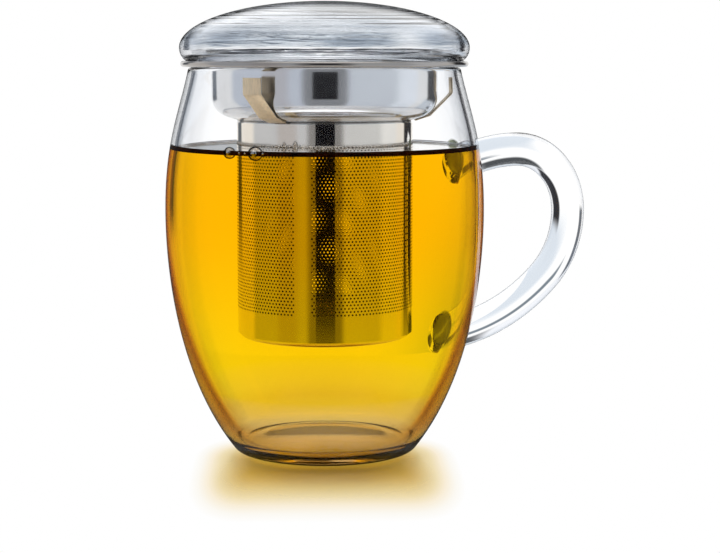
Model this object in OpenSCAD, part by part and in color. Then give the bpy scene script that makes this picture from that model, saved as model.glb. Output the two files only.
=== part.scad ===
// Glass tea mug with a steel strainer basket hung in its mouth and a domed glass lid.
// Millimetres. Origin on the mug's axis at the plane it stands on, +Z up, handle along +X.

/* [Mug] */
// Height of the glass mug, without strainer and lid
mug_h = 109.5; // [96:0.5:140]
// Outer radius at the rim
rim_r = 38.6; // [36:0.1:46]
// Outer radius at the widest part of the belly
belly_r = 45.3; // [43:0.1:54]
// Height of the widest part of the belly
belly_z = 68.6; // [58:0.1:78]
// Outward lean of the neck below the rim, radius per height
neck_lean = 0.22; // [0.1:0.01:0.3]
// Radius of the ring the mug stands on, at the middle of its rounded edge
foot_r = 23.8; // [20:0.1:28]
// Radius of the rounded edge of the foot
foot_round = 3.3; // [2:0.1:5]
// Glass wall from the rim to the belly
wall = 2.1; // [1.6:0.1:3]
// Glass wall where it turns into the floor
heel_wall = 2.4; // [2:0.1:4]
// Thickness of the floor above the standing plane
floor_t = 3.2; // [2.5:0.1:5]
// Depth of the hollow under the foot
punt_h = 0.9; // [0.5:0.1:1.5]
// Distance from the standing ring in to where the inner floor is flat
floor_turn = 4; // [3:0.5:8]

/* [Handle] */
// Radius of the glass rod
rod_r = 5; // [4:0.1:6]
// Gap for the fingers between the belly and the rod, at its widest
finger_gap = 34.1; // [26:0.1:42]
// Height of the outermost point of the loop
loop_z = 65.4; // [58:0.1:74]
// Radius of the tight bend at the top of the loop
top_bend = 19.3; // [16:0.1:24]
// Radius of the rod's flared ends, where they are fused to the wall
flare_r = 6; // [5.5:0.1:8]

/* [Strainer] */
// Turn of the strainer in the mug, which is free to stand at any angle
strainer_turn = -27; // [-180:1:180]
// Thickness of the sheet of the collar and the basket floor
sheet = 0.5; // [0.4:0.1:0.8]
// Radius of the rolled edge of the collar
bead_r = 0.85; // [0.8:0.05:1.2]
// How far the rolled edge stands out past the rim of the mug
bead_reach = 2.1; // [1.8:0.1:4]
// Gap between the dish of the collar and the inside of the mug's mouth
dish_gap = 4.45; // [3.5:0.05:7]
// Depth of the collar, from its flange to the top of the basket
dish_h = 15.4; // [12:0.1:22]
// Radius of the lower edge of the dish
dish_round = 6; // [4:0.1:7]
// Slope of the shoulder between dish and basket, degrees
shoulder_slope = 18; // [10:1:24]
// Outer radius of the basket
basket_r = 25; // [20:0.1:26]
// Height of the basket
basket_h = 61; // [45:0.5:70]
// Thickness of the perforated sheet
mesh_t = 0.4; // [0.3:0.05:0.6]

/* [Perforation] */
// Diameter of a hole
hole_d = 1.5; // [1:0.1:2]
// Distance between neighbouring holes in a row
hole_pitch = 4.1; // [3.6:0.1:6]
// Plain band above the holes of the wall
band_top = 7.5; // [4:0.5:12]
// Plain band below the holes of the wall
band_bottom = 9; // [7:0.5:12]
// Width of the plain strip along the welded seam
seam_w = 5.6; // [4:0.1:10]
// Place of the seam round the strainer, degrees
seam_turn = -104; // [-180:1:180]

/* [Spring tabs] */
// Number of tabs that centre the strainer in the mouth of the mug
tab_count = 3; // [3:1:3]
// Width of a tab
tab_w = 5.4; // [4:0.1:8]
// Thickness of a tab
tab_t = 0.4; // [0.3:0.05:0.6]
// Length of the upright end of a tab
tab_up = 3.6; // [2:0.1:5]
// Height of the tip of a tab below the flange
tab_drop = 3.4; // [3:0.1:5]
// Distance from the wall of the dish in to the bend where a tab leaves the shoulder
tab_heel = 2; // [1.5:0.1:3]

/* [Lid] */
// How far the lid stands out past the rolled edge of the collar
lid_over = 0.3; // [0:0.1:2]
// Height of the lid above its seat
lid_h = 17.9; // [14:0.1:28]
// Height of the rounded edge of the lid, up to its widest part
lid_edge = 4.8; // [4:0.1:6]
// Glass wall at the top of the lid
lid_wall = 1.9; // [1.5:0.1:3]
// Glass wall at the edge of the lid
lid_edge_wall = 2.4; // [2:0.1:4]
// Width of the turned-in lip that the lid rests on
lid_lip = 3; // [2.5:0.1:5]

/* [Fit] */
// Gap between a piece that lifts off and what it rests on
seat_gap = 0.1; // [0.05:0.05:0.3]
// Gap between the tabs and the inside of the mug's mouth
tab_gap = 0.35; // [0.2:0.05:0.6]
// Gap between pieces that are slid into each other and spot-welded
weld_gap = 0.05; // [0.02:0.01:0.1]

/* [Hidden] */
$fn = 96;

// Steps along each curve of an outline
curve_steps = 14;
corner_steps = 6;

// Lean of the wall where it meets the rounded foot, degrees from upright
foot_lean = 52;
// Radius of the hollow under the foot
punt_r = foot_r - 4.6;
// Radius of the flat part of the inner floor
inner_floor_r = foot_r - floor_turn;

// Free ends of the curves of the belly, as lengths along their tangents
belly_up = 0.49 * (mug_h - belly_z);
neck_len = 0.3 * (mug_h - belly_z);
belly_down = 0.31 * belly_z;
heel_len = 0.335 * belly_z;

// Heights that follow from the stack of pieces
flange_z = mug_h + seat_gap;
flange_top = flange_z + sheet;
basket_top = flange_z - dish_h;
basket_bottom = basket_top - basket_h;
lid_seat = flange_top + seat_gap;

// ---- Curves ----

function bezier(p, t) =
    pow(1 - t, 3) * p[0] + 3 * pow(1 - t, 2) * t * p[1]
    + 3 * (1 - t) * t * t * p[2] + pow(t, 3) * p[3];

function bezier_way(p, t) =
    pow(1 - t, 2) * (p[1] - p[0]) + 2 * (1 - t) * t * (p[2] - p[1]) + t * t * (p[3] - p[2]);

function unit(v) = v / norm(v);

function left_of(v) = [-v[1], v[0]];

function direction(a) = [cos(a), sin(a)];

// Points of an arc, or of an ellipse where r is a pair of half axes
function arc(centre, r, from, to, n = corner_steps) =
    let (half = is_list(r) ? r : [r, r])
    [for (i = [0:n])
        let (a = from + (to - from) * i / n)
        centre + [half[0] * cos(a), half[1] * sin(a)]];

function reversed(list) = [for (i = [len(list) - 1:-1:0]) list[i]];

// Outline of a bent sheet of thickness t whose middle follows the path
function bent_sheet(path, t) =
    let (last = len(path) - 1)
    let (side = [for (i = [0:last])
        let (way = path[min(i + 1, last)] - path[max(i - 1, 0)])
        left_of(unit(way)) * t / 2])
    concat([for (i = [0:last]) path[i] + side[i]],
           [for (i = [last:-1:0]) path[i] - side[i]]);

// ---- Mug ----

// Lean of the neck at the rim, degrees, and the height where the rounding of the rim starts
rim_lean = atan(neck_lean);
lip_z = mug_h - wall / 2 * (1 - sin(rim_lean));
foot_centre = [foot_r, foot_round];
heel = foot_centre + foot_round * direction(foot_lean - 90);
upper_curve = [[rim_r, lip_z],
               [rim_r + neck_lean * neck_len, lip_z - neck_len],
               [belly_r, belly_z + belly_up],
               [belly_r, belly_z]];
lower_curve = [[belly_r, belly_z],
               [belly_r, belly_z - belly_down],
               heel + heel_len * direction(foot_lean),
               heel];

// Wall thickness along the lower curve, from belly to heel
function wall_at(t) = wall + (heel_wall - wall) * pow(t, 3);

outer_upper = [for (i = [0:curve_steps - 1]) bezier(upper_curve, i / curve_steps)];
outer_lower = [for (i = [0:curve_steps]) bezier(lower_curve, i / curve_steps)];
outer_foot = arc(foot_centre, foot_round, foot_lean - 90, -90);
outer_side = concat(outer_upper, outer_lower, [for (i = [1:corner_steps]) outer_foot[i]]);

inner_upper = [for (i = [0:curve_steps - 1])
    let (t = i / curve_steps)
    bezier(upper_curve, t) + wall * left_of(-unit(bezier_way(upper_curve, t)))];
// The inside leaves the offset of the outer wall here and turns into the floor
inner_turn = 0.95;
inner_lower = [for (i = [0:curve_steps])
    let (t = inner_turn * i / curve_steps)
    bezier(lower_curve, t) + wall_at(t) * left_of(-unit(bezier_way(lower_curve, t)))];
turn_start = inner_lower[curve_steps];
turn_way = unit(bezier_way(lower_curve, inner_turn));
floor_curve = [turn_start,
               turn_start + 0.4 * floor_turn * turn_way,
               [inner_floor_r + 0.6 * floor_turn, floor_t],
               [inner_floor_r, floor_t]];
inner_floor = [for (i = [1:curve_steps]) bezier(floor_curve, i / curve_steps)];

// Inner radius of the mouth, at the height of the tips of the tabs
mouth_r = rim_r - wall;

module mug_body() {
    punt_ball = (punt_r * punt_r + punt_h * punt_h) / (2 * punt_h);
    punt_edge = asin(punt_r / punt_ball);
    punt = arc([0, punt_h - punt_ball], punt_ball, 90 - punt_edge, 90);
    lip_middle = (inner_upper[0] + outer_upper[0]) / 2;
    lip = arc(lip_middle, wall / 2, 180 + rim_lean, rim_lean, 8);
    color("lightcyan")
    rotate_extrude()
    polygon(concat(outer_side, punt, [[0, floor_t]],
                   reversed(concat(inner_upper, inner_lower, inner_floor)),
                   [for (i = [1:7]) lip[i]]));
}

// Everything inside the outer surface of the mug
module mug_envelope() {
    rotate_extrude()
    polygon(concat([[0, lip_z]], outer_side, [[0, 0]]));
}

// ---- Handle ----

// The rod's middle line is four arcs, each tangent to the next:
// one off the wall, the tight top bend, the outer side and a long one back to the wall.
loop_x = belly_r + finger_gap + rod_r;
side_bend = 26.8;
side_turn = 47.6;
off_bend = 52.4;
back_bend = 59.1;
top_centre = [loop_x - top_bend, loop_z];
side_centre = [loop_x - side_bend, loop_z];
off_centre = [top_centre[0], loop_z + top_bend - off_bend];
back_centre = side_centre + (side_bend - back_bend) * direction(-side_turn);
// Turns at which the middle line reaches the outside of the wall
upper_turn = asin((top_centre[0] - outer_upper[8][0]) / off_bend);
lower_turn = acos((outer_lower[8][0] - back_centre[0]) / back_bend);
// How much further the rod runs, in degrees and in mm, to be cut off by the wall
overrun = 10;
// Length over which the flare dies out
flare_len = 3;
// The arcs stop this many degrees short of each other, inside the ball that joins them
joint_gap = 0.1;
joint_ball = rod_r + 0.02;

// One arc of the rod, from one angle to another about its centre
module rod_arc(centre, bend, from, to) {
    translate([centre[0], 0, centre[1]])
    rotate([90, 0, 0])
    rotate([0, 0, from])
    rotate_extrude(angle = to - from)
    translate([bend, 0])
    circle(rod_r);
}

module rod_joint(spot) {
    translate([spot[0], 0, spot[1]])
    sphere(joint_ball);
}

// Cone round the rod that widens to flare_r at the wall; the rod leaves the wall at angle way
module flare(centre, bend, turn, way) {
    spot = centre + bend * direction(turn);
    slope = (flare_r - rod_r) / flare_len;
    translate([spot[0], 0, spot[1]])
    rotate([0, 90 - way, 0])
    translate([0, 0, -overrun / 2])
    cylinder(r1 = flare_r + slope * overrun / 2, r2 = rod_r - slope,
             h = overrun / 2 + flare_len + 1);
}

module handle() {
    color("azure")
    difference() {
        union() {
            rod_arc(off_centre, off_bend, 90 + joint_gap, 90 + upper_turn + overrun);
            rod_arc(top_centre, top_bend, joint_gap, 90 - joint_gap);
            rod_arc(side_centre, side_bend, joint_gap - side_turn, -joint_gap);
            rod_arc(back_centre, back_bend, -lower_turn - overrun, -side_turn - joint_gap);
            rod_joint(top_centre + [0, top_bend]);
            rod_joint(side_centre + [side_bend, 0]);
            rod_joint(side_centre + side_bend * direction(-side_turn));
            flare(off_centre, off_bend, 90 + upper_turn, upper_turn);
            flare(back_centre, back_bend, -lower_turn, 90 - lower_turn);
        }
        mug_envelope();
    }
}

// ---- Strainer ----

bead_middle = [rim_r + bead_reach - bead_r, flange_z + bead_r];
dish_r = mouth_r - dish_gap;
dish_middle_r = dish_r - sheet / 2;
flange_bend = 1.2;
neck_bend = 0.8;
neck_r = basket_r - mesh_t - weld_gap - sheet / 2;
neck_h = 3;
shoulder_way = direction(180 + shoulder_slope);

// Where the shoulder starts and ends, on the middle of the sheet
shoulder_in = neck_r + neck_bend - neck_bend * sin(shoulder_slope);
shoulder_end_z = basket_top + sheet / 2 + neck_bend * (cos(shoulder_slope) - 0.5);
round_end_r = dish_middle_r - dish_round * (1 - sin(shoulder_slope));
round_end_z = shoulder_end_z + (round_end_r - shoulder_in) * tan(shoulder_slope);
round_z = round_end_z + dish_round * cos(shoulder_slope);

collar_path = concat(
    arc(bead_middle, bead_r - sheet / 2, 185, -90, 18),
    arc([dish_middle_r + flange_bend, flange_z + sheet / 2 - flange_bend], flange_bend, 90, 180),
    arc([dish_middle_r - dish_round, round_z], dish_round, 0, shoulder_slope - 90, 10),
    arc([neck_r + neck_bend, shoulder_end_z - neck_bend * cos(shoulder_slope)], neck_bend,
        90 + shoulder_slope, 180),
    [[neck_r, basket_top - neck_h]]);

module strainer_collar() {
    color("lightsteelblue")
    rotate_extrude()
    polygon(bent_sheet(collar_path, sheet));
}

floor_bend = 1.4;
pan_skirt = 7;
pan_z = basket_bottom + sheet / 2;
pan_path = concat(
    [[neck_r, basket_bottom + pan_skirt]],
    arc([neck_r - floor_bend, pan_z + floor_bend], floor_bend, 0, -90),
    [[0, pan_z]]);

row_pitch = hole_pitch * sin(60);
holes_round = floor(2 * PI * basket_r / hole_pitch);
hole_turn = 360 / holes_round;
holes_z = basket_bottom + band_bottom;
hole_rows = floor((basket_h - band_top - band_bottom) / row_pitch) + 1;
// Half the angle that the plain strip of the seam takes
seam_half = asin(seam_w / 2 / basket_r);
// Bottom edge of the wall, just above the rounded edge of the floor
wall_foot = basket_bottom + floor_bend;
// Top edge of the wall, clear of the bend of the collar's neck
wall_top = basket_top - 3 * weld_gap;

module wall_holes() {
    for (row = [0:hole_rows - 1])
        for (i = [0:holes_round - 1]) {
            turn = (i + (row % 2) / 2) * hole_turn;
            if (turn > seam_half + hole_turn / 4 && turn < 360 - seam_half - hole_turn / 4)
                rotate([0, 0, seam_turn + turn])
                translate([basket_r - 2 * mesh_t, 0, holes_z + row * row_pitch])
                rotate([0, 90, 0])
                cylinder(d = hole_d, h = 3 * mesh_t);
        }
}

module basket_wall() {
    color("silver")
    rotate([0, 0, strainer_turn])
    difference() {
        translate([0, 0, wall_foot])
        difference() {
            cylinder(r = basket_r, h = wall_top - wall_foot);
            translate([0, 0, -1])
            cylinder(r = basket_r - mesh_t, h = basket_h + 2);
        }
        wall_holes();
    }
}

// Rings of holes round a middle one, in a six-sided pattern
module floor_holes() {
    across = floor((neck_r - 2 * floor_bend - hole_d / 2) / hole_pitch);
    for (u = [-across:across])
        for (v = [-across:across]) {
            spot = hole_pitch * [u + v / 2, v * sin(60)];
            if (norm(spot) < neck_r - 2 * floor_bend - hole_d / 2)
                translate([spot[0], spot[1], basket_bottom - sheet])
                cylinder(d = hole_d, h = 3 * sheet);
        }
}

module basket_floor() {
    color("gainsboro")
    rotate([0, 0, strainer_turn])
    difference() {
        rotate_extrude()
        polygon(bent_sheet(pan_path, sheet));
        floor_holes();
    }
}

// Profile of a tab: foot along the shoulder, slanted arm, upright end
tab_tip = [mouth_r - tab_gap - tab_t / 2, flange_z - tab_drop];
tab_knee = tab_tip - [0, tab_up];
foot_lift = (sheet + tab_t) / 2 + weld_gap;
foot_in = [shoulder_in + 0.6, shoulder_end_z + 0.6 * tan(shoulder_slope)]
    + foot_lift * left_of(shoulder_way);
foot_len = (dish_middle_r - tab_heel - foot_in[0]) / cos(shoulder_slope);
foot_out = foot_in - foot_len * shoulder_way;

module spring_tab(i) {
    turn = strainer_turn + 360 / tab_count * i;
    color("tan")
    rotate([0, 0, turn])
    translate([0, tab_w / 2, 0])
    rotate([90, 0, 0])
    linear_extrude(tab_w)
    polygon(bent_sheet([foot_in, foot_out, tab_knee, tab_tip], tab_t));
}

// ---- Lid ----

lid_r = rim_r + bead_reach + lid_over;
lid_wide_z = lid_seat + lid_edge;
lid_edge_middle = [lid_r - 5, lid_wide_z];
lip_in = lid_edge_middle[0] - lid_lip + 1.6;

module lid() {
    dome_out = arc([0, lid_wide_z], [lid_r, lid_h - lid_edge], 90, 0, 24);
    edge_out = arc(lid_edge_middle, [lid_r - lid_edge_middle[0], lid_edge], 0, -90, 10);
    lip_round = lid_edge_wall / 2;
    lip = arc([lip_in, lid_seat + lip_round], lip_round, -90, -270, 8);
    inner_edge = [lid_r - lid_edge_wall - lid_edge_middle[0], lid_edge - lid_edge_wall];
    edge_in = arc(lid_edge_middle, inner_edge, -90, 0, 6);
    dome_in = arc([0, lid_wide_z],
                  [lid_r - lid_edge_wall, lid_h - lid_edge - lid_wall], 0, 90, 24);
    color("lightblue")
    rotate_extrude()
    polygon(concat(dome_out, [for (i = [1:10]) edge_out[i]], lip, edge_in,
                   [for (i = [1:24]) dome_in[i]]));
}

// ---- All pieces ----

mug_body();
handle();
strainer_collar();
basket_wall();
basket_floor();
spring_tab(0);  // spring_tab_1
spring_tab(1);  // spring_tab_2
spring_tab(2);  // spring_tab_3
lid();
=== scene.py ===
"""Lidded glass tea mug with a hanging steel strainer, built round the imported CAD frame."""

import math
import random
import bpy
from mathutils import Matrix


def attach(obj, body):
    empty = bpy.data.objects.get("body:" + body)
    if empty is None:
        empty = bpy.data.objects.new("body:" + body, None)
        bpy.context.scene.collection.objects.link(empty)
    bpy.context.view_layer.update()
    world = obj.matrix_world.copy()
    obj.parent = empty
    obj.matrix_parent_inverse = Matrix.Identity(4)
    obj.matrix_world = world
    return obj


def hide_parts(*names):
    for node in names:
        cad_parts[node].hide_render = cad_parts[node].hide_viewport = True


bl_info = {
    "name": "Lidded Tea Mug with Infuser",
    "version": (1, 0, 0),
    "blender": (4, 5, 0),
    "location": "View3D > Sidebar > Tea Mug",
    "description": "Builds a glass tea mug with its strainer, lid, tea and table",
    "category": "Add Mesh",
}

import bmesh
import bpy
from bpy.props import FloatProperty, FloatVectorProperty, PointerProperty
from mathutils import Matrix, Vector

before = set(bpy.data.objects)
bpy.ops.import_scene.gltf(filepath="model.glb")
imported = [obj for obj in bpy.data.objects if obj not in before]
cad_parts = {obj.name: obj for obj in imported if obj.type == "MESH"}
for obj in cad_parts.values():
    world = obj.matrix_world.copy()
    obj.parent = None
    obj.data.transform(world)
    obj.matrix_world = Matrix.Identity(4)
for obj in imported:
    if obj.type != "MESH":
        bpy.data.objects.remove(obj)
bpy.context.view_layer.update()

MM = 0.001
WHITE = (1, 1, 1, 1)
# Gap between a piece that lifts off and what it rests on, and between welded pieces
SEAT_GAP = 0.1 * MM
WELD_GAP = 0.05 * MM


# ---------------------------------------------------------------- colours and nodes

def srgb(text):
    """Linear RGBA of a colour written as six hex digits, as a paint chart or a screen gives it."""
    channels = [int(text[i:i + 2], 16) / 255 for i in (0, 2, 4)]
    linear = [c / 12.92 if c <= 0.04045 else ((c + 0.055) / 1.055) ** 2.4 for c in channels]
    return (*linear, 1.0)


def add(tree, kind, settings=None, **inputs):
    """Adds a node with its settings.

    An input is a value, a socket to link or a node whose first output is linked. In its name, _
    stands for a space, and i0 is the first input."""
    node = tree.nodes.new(kind)
    for name, value in (settings or {}).items():
        setattr(node, name, value)
    for name, value in inputs.items():
        key = int(name[1:]) if name[0] == "i" and name[1:].isdigit() else name.replace("_", " ")
        socket = node.inputs[key]
        if isinstance(value, bpy.types.Node):
            value = value.outputs[0]
        if isinstance(value, bpy.types.NodeSocket):
            tree.links.new(value, socket)
        else:
            socket.default_value = value
    return node


def new_material(name):
    """Empty material and its node tree."""
    material = bpy.data.materials.new(name)
    material.use_nodes = True
    material.node_tree.nodes.clear()
    return material, material.node_tree


def ramp(tree, factor, stops):
    """Colour ramp through stops of a position and a colour, as RGBA or as six hex digits."""
    stops = [(at, srgb(tone) if isinstance(tone, str) else tone) for at, tone in stops]
    node = add(tree, "ShaderNodeValToRGB", Fac=factor)
    elements = node.color_ramp.elements
    while len(elements) > 1:
        elements.remove(elements[-1])
    elements[0].position, elements[0].color = stops[0]
    for at, tone in stops[1:]:
        elements.new(at).color = tone
    return node


def blended(tree, share, first, second, mode="MIX"):
    """Mix of two colours, where a share of 1 gives the second or, in a mode, its effect."""
    return add(tree, "ShaderNodeMix", {"data_type": "RGBA", "blend_type": mode},
               Factor=share, A=first, B=second).outputs["Result"]


def number(tree, operation, *values):
    """What a Math node makes of its values."""
    inputs = {"i%d" % k: value for k, value in enumerate(values)}
    return add(tree, "ShaderNodeMath", {"operation": operation}, **inputs)


def measure(tree, operation, a, b):
    """Number that a Vector Math node makes of two vectors."""
    return add(tree, "ShaderNodeVectorMath", {"operation": operation}, i0=a,
               i1=b).outputs["Value"]


def slope(tree, value, start, end, low=0.0, high=1.0, smooth=True):
    """Number that goes from low to high while the value goes from start to end."""
    return add(tree, "ShaderNodeMapRange",
               {"interpolation_type": "SMOOTHSTEP" if smooth else "LINEAR"}, Value=value,
               From_Min=start, From_Max=end, To_Min=low, To_Max=high)


def noise(tree, place, size, detail, stretch=None):
    """Noise from 0 to 1 with features of a size in metres, drawn out where stretch is low."""
    if stretch:
        place = add(tree, "ShaderNodeMapping", Vector=place, Scale=stretch)
    return add(tree, "ShaderNodeTexNoise", Vector=place, Scale=1 / size, Detail=detail)


def bump(tree, height, depth, strength=1.0, **inputs):
    """Normal of a surface that a pattern raises by a depth in metres."""
    return add(tree, "ShaderNodeBump", Height=height, Strength=strength, Distance=depth,
               **inputs)


def mixed(tree, share, first, second):
    """Mix of two shaders, where a share of 1 gives the second."""
    return add(tree, "ShaderNodeMixShader", i0=share, i1=first, i2=second)


def object_place(tree):
    """Where a point lies in its object, in metres."""
    return add(tree, "ShaderNodeTexCoord").outputs["Object"]


def object_height(tree):
    """Height over the table, in metres."""
    return add(tree, "ShaderNodeSeparateXYZ", Vector=object_place(tree)).outputs["Z"]


def facing_away(tree):
    """0 where the surface faces the eye, 1 where it is seen edge-on."""
    return add(tree, "ShaderNodeLayerWeight", Blend=0.5).outputs["Facing"]


# ---------------------------------------------------------------- outlines and meshes

def bezier(p, t):
    """Point of a cubic Bezier curve."""
    s = 1 - t
    return s ** 3 * p[0] + 3 * s * s * t * p[1] + 3 * s * t * t * p[2] + t ** 3 * p[3]


def bezier_way(p, t):
    """Direction of a cubic Bezier curve."""
    s = 1 - t
    return (s * s * (p[1] - p[0]) + 2 * s * t * (p[2] - p[1]) + t * t * (p[3] - p[2])).normalized()


def left_of(v):
    """The vector turned a quarter to the left."""
    return Vector((-v[1], v[0]))


def direction(degrees):
    """Unit vector at an angle."""
    a = math.radians(degrees)
    return Vector((math.cos(a), math.sin(a)))


def arc(centre, half_axes, start, end, count):
    """Points of an arc of an ellipse, ends included."""
    a, b = half_axes if isinstance(half_axes, tuple) else (half_axes, half_axes)
    points = []
    for i in range(count + 1):
        way = direction(start + (end - start) * i / count)
        points.append(Vector((centre[0] + a * way[0], centre[1] + b * way[1])))
    return points


def ways_along(path):
    """Direction of a path at each of its points."""
    return [(after - before).normalized()
            for before, after in zip(path[:1] + path[:-1], path[1:] + path[-1:])]


def bent_sheet(path, thickness):
    """Outline of a bent sheet whose middle follows the path."""
    sides = ([], [])
    for point, way in zip(path, ways_along(path)):
        shift = left_of(way) * thickness / 2
        sides[0].append(point + shift)
        sides[1].append(point - shift)
    return sides[0] + sides[1][::-1]


def band(first, second):
    """Faces between two rings with the same number of corners."""
    after = [(k + 1) % len(first) for k in range(len(first))]
    return [(first[k], first[n], second[n], second[k]) for k, n in enumerate(after)]


def revolve(outline, steps):
    """Closed mesh of an outline of (radius, height) points turned about the Z axis."""
    rings, vertices = [], []
    turns = [(math.cos(2 * math.pi * k / steps), math.sin(2 * math.pi * k / steps))
             for k in range(steps)]
    for radius, height in outline:
        if radius < 1e-7:
            rings.append([len(vertices)] * steps)
            vertices.append((0.0, 0.0, height))
        else:
            rings.append(range(len(vertices), len(vertices) + steps))
            vertices += [(radius * c, radius * s, height) for c, s in turns]
    faces = []
    for ring, other in zip(rings, rings[1:] + rings[:1]):
        # A face at the axis has two corners in one place
        merged = [list(dict.fromkeys(corners)) for corners in band(ring, other)]
        faces += [corners for corners in merged if len(corners) > 2]
    return vertices, faces


def finish_shading(mesh, sharp_angle):
    """Makes a mesh smooth where its faces meet at a low angle."""
    mesh.shade_smooth()
    mesh.set_sharp_from_angle(angle=math.radians(sharp_angle))
    mesh.validate()
    mesh.update()


def object_from(name, shape, sharp_angle):
    """Object from a bmesh, which is freed."""
    mesh = bpy.data.meshes.new(name)
    shape.to_mesh(mesh)
    shape.free()
    finish_shading(mesh, sharp_angle)
    piece = bpy.data.objects.new(name, mesh)
    bpy.context.scene.collection.objects.link(piece)
    return piece


def new_object(name, vertices, faces, sharp_angle=40):
    """Object from plain lists, with all faces turned outwards."""
    mesh = bpy.data.meshes.new("plain lists")
    mesh.from_pydata([tuple(v) for v in vertices], [], faces)
    shape = bmesh.new()
    shape.from_mesh(mesh)
    bpy.data.meshes.remove(mesh)
    bmesh.ops.recalc_face_normals(shape, faces=shape.faces)
    return object_from(name, shape, sharp_angle)


def hand_over(piece, materials, body, slot, *nodes, second=None):
    """Gives a piece its materials and hands it to the frame.

    Second is a function that tells which faces have the second material."""
    piece.data.materials.clear()
    for material in materials:
        piece.data.materials.append(material)
    if second:
        for face in piece.data.polygons:
            face.material_index = int(second(face))
    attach(piece, body)
    if nodes:
        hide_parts(*nodes)


def from_axis(face):
    """How far the middle of a face is from the axis."""
    return math.hypot(face.center.x, face.center.y)


def apply_modifiers(piece, sharp_angle):
    """Replaces the mesh of a piece by what its modifiers make of it."""
    graph = bpy.context.evaluated_depsgraph_get()
    mesh = bpy.data.meshes.new_from_object(piece.evaluated_get(graph))
    piece.modifiers.clear()
    old, piece.data = piece.data, mesh
    bpy.data.meshes.remove(old)
    mesh.name = piece.name
    finish_shading(mesh, sharp_angle)



# ---------------------------------------------------------------- sizes and colours

def length(name, description, millimetres):
    """Property for a length."""
    return FloatProperty(name=name, description=description, default=millimetres * MM,
                         unit="LENGTH", precision=5)


def rotation(name, description, degrees):
    """Property for an angle."""
    return FloatProperty(name=name, description=description, default=math.radians(degrees),
                         unit="ROTATION")


def colour(name, description, text):
    """Property for a colour."""
    return FloatVectorProperty(name=name, description=description, default=srgb(text)[:3],
                               subtype="COLOR", size=3, min=0, max=1)


class MugProperties(bpy.types.PropertyGroup):
    height: length("Height", "Height of the mug's rim", 109.5)
    rim_radius: length("Rim radius", "Outer radius just below the rim", 38.6)
    belly_radius: length("Belly radius", "Outer radius at the widest part", 45.3)
    belly_height: length("Belly height", "Height of the widest part", 68.6)
    neck_lean: FloatProperty(name="Neck lean", description="Radius lost per height at the neck",
                             default=0.22)
    foot_radius: length("Foot radius", "Radius of the ring the mug stands on", 23.8)
    foot_round: length("Foot rounding", "Radius of the rounded edge of the foot", 3.3)
    wall: length("Wall", "Glass wall from the rim to the belly", 2.1)
    heel_wall: length("Heel wall", "Glass wall where it turns into the floor", 2.4)
    floor: length("Floor", "Height of the inner floor over the table", 3.2)
    punt: length("Punt", "Depth of the hollow under the foot", 0.9)
    rod_radius: length("Rod radius", "Radius of the glass rod of the handle", 5.0)
    flare_radius: length("Flare radius", "Radius of the rod's ends on the wall", 6.0)
    finger_gap: length("Finger gap", "Gap between belly and rod", 34.1)
    loop_height: length("Loop height", "Height of the outermost point of the handle", 65.4)
    tint: colour("Glass tint", "Colour that clear glass takes across a thick edge", "E9EEF6")


class StrainerProperties(bpy.types.PropertyGroup):
    turn: rotation("Turn", "Turn of the strainer in the mug", -27)
    sheet: length("Sheet", "Thickness of the collar's sheet", 0.5)
    bead: length("Bead", "Radius of the rolled edge", 0.85)
    bead_reach: length("Bead reach", "How far the rolled edge stands past the mug's rim", 2.1)
    dish_radius: length("Dish radius", "Outer radius of the dish", 32.05)
    dish_depth: length("Dish depth", "Depth from the flange to the basket", 15.4)
    dish_round: length("Dish rounding", "Radius of the lower edge of the dish", 6.0)
    basket_radius: length("Basket radius", "Outer radius of the basket", 25.0)
    basket_height: length("Basket height", "Height of the basket", 61.0)
    mesh_sheet: length("Basket sheet", "Thickness of the perforated sheet", 0.4)
    hole: length("Hole", "Diameter of a hole", 0.6)
    pitch: length("Pitch", "Distance between neighbouring holes", 1.054)
    seam_turn: rotation("Seam turn", "Place of the seam on the strainer", -104.6)
    seam_width: length("Seam width", "Width of the plain strip at the seam", 5.2)
    tab_width: length("Tab width", "Width of a spring tab", 5.4)
    tab_sheet: length("Tab sheet", "Thickness of a spring tab", 0.4)
    steel: colour("Steel", "Polished stainless steel", "D9DADC")
    basket_steel: colour("Basket steel", "Stainless steel of the perforated basket", "E4DCD0")
    # Painted shade: the rolled edge's steel is darker than the dish's, for the dim low front that
    # it mirrors
    edge: colour("Edge steel", "Steel of the rolled edge, darkened as painted shade", "A39E99")
    straw: colour("Straw tint", "Heat tint of the tabs", "FAE2BC")


class LidProperties(bpy.types.PropertyGroup):
    radius: length("Radius", "Outer radius of the lid", 41.0)
    height: length("Height", "Height over the seat", 17.9)
    edge: length("Edge", "Height of the rounded edge", 4.8)
    wall: length("Wall", "Glass wall at the top", 1.9)
    edge_wall: length("Edge wall", "Glass wall at the edge", 2.4)
    lip: length("Lip", "Width of the turned-in lip", 3.0)


class TeaProperties(bpy.types.PropertyGroup):
    level: length("Level", "Height of the tea's surface over the table", 87.0)
    amber: colour("Amber", "Light that has crossed the upper part of the tea", "FFBF02")
    gold: colour("Gold", "Light that has crossed the thin lower part of the tea", "FAD80A")


class StageProperties(bpy.types.PropertyGroup):
    camera_distance: length("Camera distance", "From the camera to the mug's axis", 503.8)
    camera_height: length("Camera height", "Height of the camera over the table", 112.5)
    camera_aside: length("Camera aside", "How far the camera stands right of the axis", -4.6)
    camera_pan: rotation("Camera pan", "Turn of the camera to the right", 1.663)
    camera_tilt: rotation("Camera tilt", "Turn of the camera downwards", 5.932)
    view_turn: rotation("View turn", "Turn of the view round the mug", -27)


# ---------------------------------------------------------------- materials

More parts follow.
